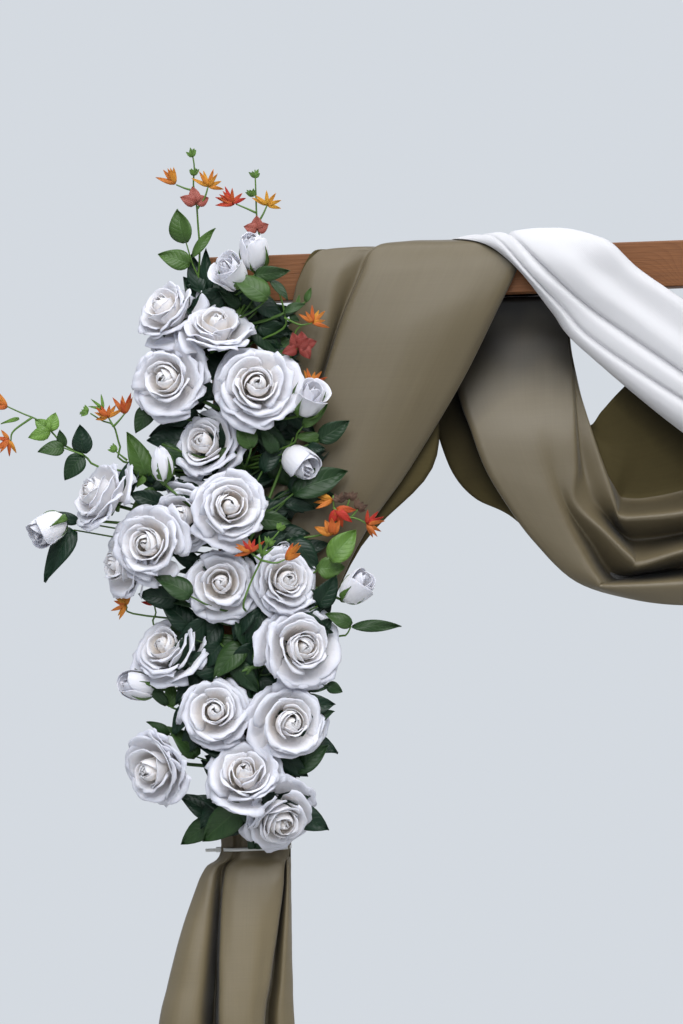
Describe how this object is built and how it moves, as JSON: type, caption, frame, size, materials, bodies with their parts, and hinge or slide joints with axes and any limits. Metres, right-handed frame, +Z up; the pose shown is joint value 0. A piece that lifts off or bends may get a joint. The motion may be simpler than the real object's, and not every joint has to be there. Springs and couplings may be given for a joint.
{
  "type": "wedding arch",
  "caption": "Free-standing square timber wedding arch with sage and white cloth draped over the beam and sprays of silk roses tied to both posts.",
  "frame": {"origin": "on the floor, midway between the two posts", "axes": "+X along the beam to the right post, +Y from the front to the back, +Z up"},
  "size_m": [2.726, 0.65, 2.367],
  "materials": {
    "timber": "planed softwood with a warm brown oil, fine grain, small knots and drying cracks",
    "sage_satin": "matt-backed satin in a grey olive, soft broad highlights",
    "white_crepe": "soft white crepe, matt",
    "tie_nylon": "white nylon strap, slightly glossy",
    "petals": "white silk petals, cream in the heart of each rose",
    "leaves": "printed silk leaves in dark green, coated, with a soft gloss"
  },
  "bodies": {
    "root": {"left_post": "timber", "left_foot": "timber", "left_back_brace": "timber", "left_sage_fall": "sage_satin", "left_sage_swag": "sage_satin", "left_sage_tail": "sage_satin", "left_tie": "tie_nylon", "left_crown_roses": "petals", "left_upper_roses": "petals", "left_outer_roses": "petals", "left_middle_roses": "petals", "left_lower_roses": "petals", "left_foot_roses": "petals", "left_foliage": "leaves", "right_post": "timber", "right_foot": "timber", "right_back_brace": "timber", "right_sage_fall": "sage_satin", "right_sage_swag": "sage_satin", "right_sage_tail": "sage_satin", "right_tie": "tie_nylon", "right_crown_roses": "petals", "right_upper_roses": "petals", "right_outer_roses": "petals", "right_middle_roses": "petals", "right_lower_roses": "petals", "right_foot_roses": "petals", "right_foliage": "leaves", "beam": "timber", "centre_sage_wrap": "sage_satin", "white_swag": "white_crepe"}
  },
  "joints": []
}
